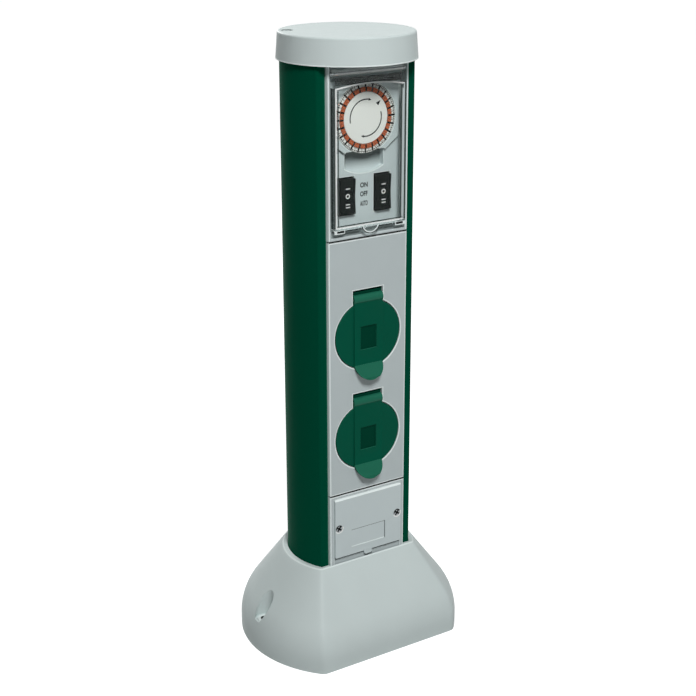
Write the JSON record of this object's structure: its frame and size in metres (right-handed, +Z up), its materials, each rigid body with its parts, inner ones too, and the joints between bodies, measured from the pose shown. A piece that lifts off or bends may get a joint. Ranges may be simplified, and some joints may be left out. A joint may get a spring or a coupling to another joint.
{
  "type": "garden socket post",
  "caption": "Ground-standing garden power post with flared foot, round cap, clear-covered day timer, rocker switches, spring-lidded sockets and a screwed terminal cover.",
  "frame": {"origin": "on the ground, under the middle of the foot's bounding box", "axes": "+Z up along the post, -Y out of the flat front, +X to the right seen from the front"},
  "size_m": [0.1656, 0.1424, 0.45],
  "materials": {
    "pale_plastic": "fine satin",
    "green_paint": "satin",
    "panel_plastic": "fine satin",
    "lid_plastic": "semi gloss",
    "clear_plastic": "clear",
    "white_plastic": "satin",
    "orange_plastic": "satin",
    "black_plastic": "satin",
    "steel": "zinc plated",
    "brass": "plain",
    "rubber": "matt",
    "brown_wire": "satin",
    "blue_wire": "satin",
    "earth_wire": "satin"
  },
  "bodies": {
    "housing": {"base_foot": "pale_plastic", "post_shell": "green_paint", "top_cap": "pale_plastic", "cap_screw": "pale_plastic", "base_screws": "steel", "cable_gland": "black_plastic", "gland_nut": "black_plastic", "timer_frame": "panel_plastic", "timer_faceplate": "panel_plastic", "cover_rod": "steel", "timer_case": "black_plastic", "timer_motor": "steel", "dial_disc": "white_plastic", "switch_body_left": "black_plastic", "switch_body_right": "black_plastic", "switch_tabs": "brass", "socket_panel": "panel_plastic", "lid_pin_upper": "steel", "lid_pin_lower": "steel", "lid_spring_upper": "steel", "lid_spring_lower": "steel", "socket_upper": "pale_plastic", "socket_lower": "pale_plastic", "contacts_upper": "brass", "contacts_lower": "brass", "earth_clip_upper": "steel", "earth_clip_lower": "steel", "terminal_frame": "panel_plastic", "terminal_cover": "panel_plastic", "cover_gasket": "rubber", "cover_screws": "steel", "terminal_block": "white_plastic", "terminal_screws": "brass", "wires_live": "brown_wire", "wires_neutral": "blue_wire", "wires_earth": "earth_wire"},
    "cover": {"timer_cover": "clear_plastic"},
    "dial": {"dial_ring": "white_plastic", "trip_segments": "orange_plastic"},
    "rocker_l": {"rocker_left": "black_plastic"},
    "rocker_r": {"rocker_right": "black_plastic"},
    "lid_u": {"lid_upper": "lid_plastic", "lid_seal_upper": "rubber"},
    "lid_l": {"lid_lower": "lid_plastic", "lid_seal_lower": "rubber"}
  },
  "joints": [
    {"name": "cover_hinge", "type": "hinge", "parent": "housing", "child": "cover", "pos_m": [0, -0.0366, 0.4255], "axis": [-1, 0, 0], "range_deg": [0, 85]},
    {"name": "dial_turn", "type": "hinge", "parent": "housing", "child": "dial", "pos_m": [0, -0.0316, 0.394], "axis": [0, 1, 0], "continuous": true},
    {"name": "rocker_left_tilt", "type": "hinge", "parent": "housing", "child": "rocker_l", "pos_m": [-0.01455, -0.0276, 0.3414], "axis": [1, 0, 0], "range_deg": [-8, 8]},
    {"name": "rocker_right_tilt", "type": "hinge", "parent": "housing", "child": "rocker_r", "pos_m": [0.01455, -0.0276, 0.3414], "axis": [1, 0, 0], "range_deg": [-8, 8]},
    {"name": "lid_upper_hinge", "type": "hinge", "parent": "housing", "child": "lid_u", "pos_m": [0, -0.0365, 0.26775], "axis": [-1, 0, 0], "range_deg": [0, 95], "stiffness_Nm_per_rad": 0.02, "springref_deg": -34.38},
    {"name": "lid_lower_hinge", "type": "hinge", "parent": "housing", "child": "lid_l", "pos_m": [0, -0.0365, 0.19079], "axis": [-1, 0, 0], "range_deg": [0, 95], "stiffness_Nm_per_rad": 0.02, "springref_deg": -34.38}
  ]
}
